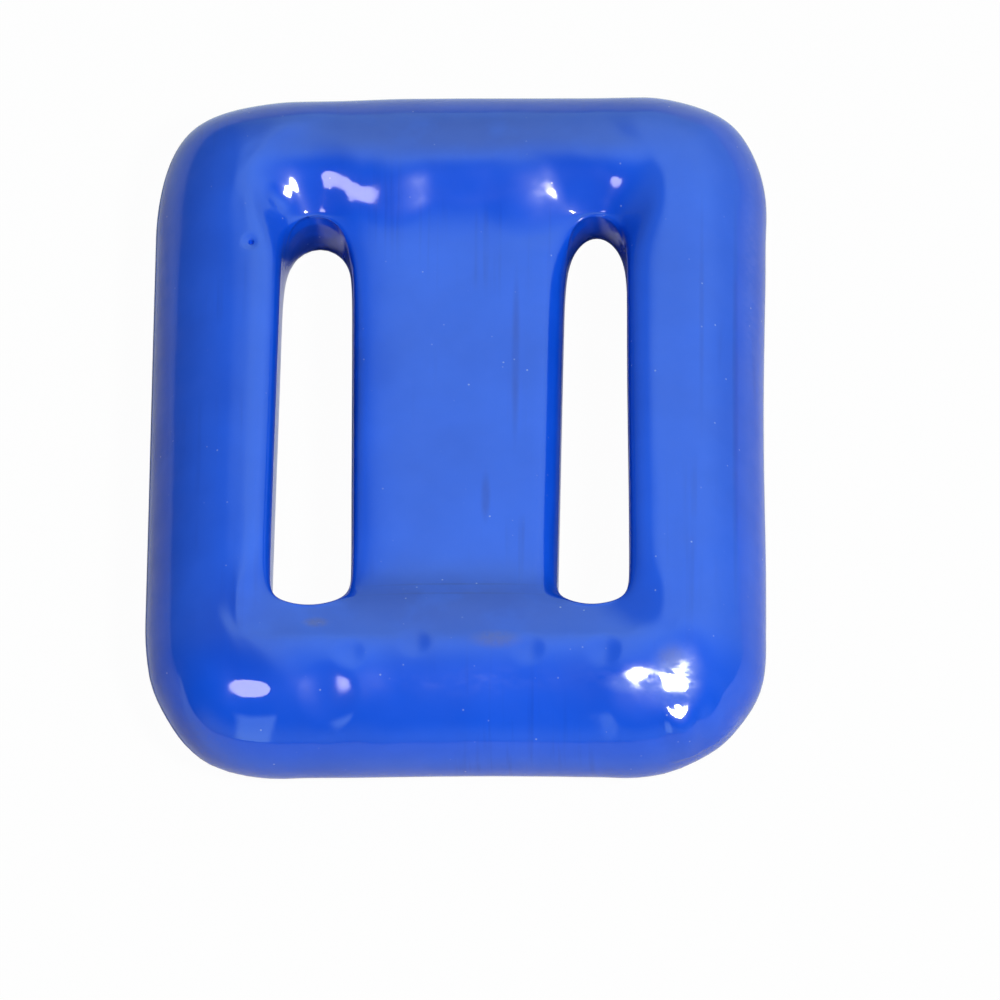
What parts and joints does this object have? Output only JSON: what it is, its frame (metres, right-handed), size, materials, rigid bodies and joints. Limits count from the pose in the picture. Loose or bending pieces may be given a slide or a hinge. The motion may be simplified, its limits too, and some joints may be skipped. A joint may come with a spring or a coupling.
{
  "type": "coated diving weight",
  "caption": "Rectangular lead diving weight in a glossy blue vinyl coat, with a slot for the belt on each side of a sunken bridge.",
  "frame": {"origin": "middle of the back face, on the plane that the weight rests on", "axes": "+X across the width, +Y along the length, +Z out of the face with the sunken bridge"},
  "size_m": [0.085, 0.105, 0.022],
  "materials": {
    "cast_lead": "dull grey lead as it leaves the mould, under the coat",
    "blue_vinyl": "glossy dip-moulded soft vinyl, bright blue, with faint waves, small pits and scuffs"
  },
  "bodies": {
    "root": {"lead_core": "cast_lead", "vinyl_coating": "blue_vinyl"}
  },
  "joints": []
}
